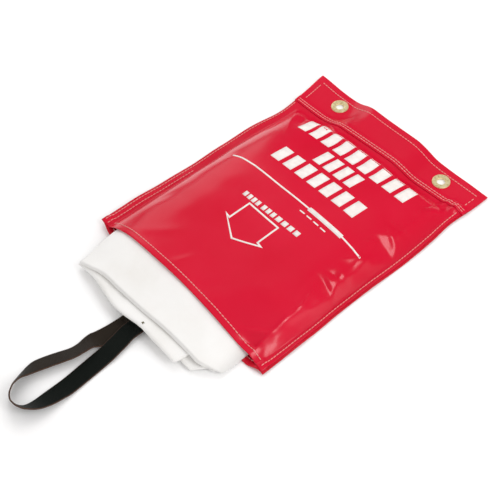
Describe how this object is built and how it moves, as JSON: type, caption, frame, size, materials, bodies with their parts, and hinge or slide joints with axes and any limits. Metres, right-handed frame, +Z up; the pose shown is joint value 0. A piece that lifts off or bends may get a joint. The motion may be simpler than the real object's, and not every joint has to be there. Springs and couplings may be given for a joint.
{
  "type": "fire blanket",
  "caption": "Red vinyl hanging pouch with two eyelets in its header, holding a folded white fire blanket pulled out by a black webbing loop.",
  "frame": {"origin": "centre of the footprint, on the surface the pouch lies on", "axes": "+Z up, away from the back panel; +Y from the open mouth towards the hanging header; +X across the pouch, to the right seen from the front with the header up"},
  "size_m": [0.254, 0.5266, 0.0341],
  "materials": {
    "red_vinyl": "glossy coated fabric",
    "grommet_brass": "polished, rolled",
    "thread": "pale pink polyester thread",
    "glass_cloth": "woven fibreglass, matt white",
    "webbing": "black woven webbing",
    "tack_thread": "dull olive thread",
    "print_ink": "white screen print"
  },
  "bodies": {
    "pouch": {"back_panel": "red_vinyl", "front_panel": "red_vinyl", "header_facing": "red_vinyl", "front_mouth_hem": "red_vinyl", "back_mouth_hem": "red_vinyl", "left_grommet": "grommet_brass", "left_washer": "grommet_brass", "right_grommet": "grommet_brass", "right_washer": "grommet_brass", "header_edge_stitch": "thread", "header_lower_stitch_1": "thread", "header_lower_stitch_2": "thread", "left_side_stitch": "thread", "right_side_stitch": "thread", "front_hem_stitch": "thread", "back_hem_stitch": "thread"},
    "blanket": {"folded_blanket": "glass_cloth", "strap_tails": "webbing", "strap_tack_stitch": "tack_thread"},
    "strap": {"pull_strap": "webbing"}
  },
  "joints": [
    {"name": "blanket_slide", "type": "slide", "parent": "pouch", "child": "blanket", "axis": [0, -1, 0], "range_m": [-0.04, 0.24]},
    {"name": "strap_lift", "type": "hinge", "parent": "blanket", "child": "strap", "pos_m": [-0.003, -0.1208, 0.0057], "axis": [-1, 0, 0], "range_deg": [0, 70]}
  ]
}
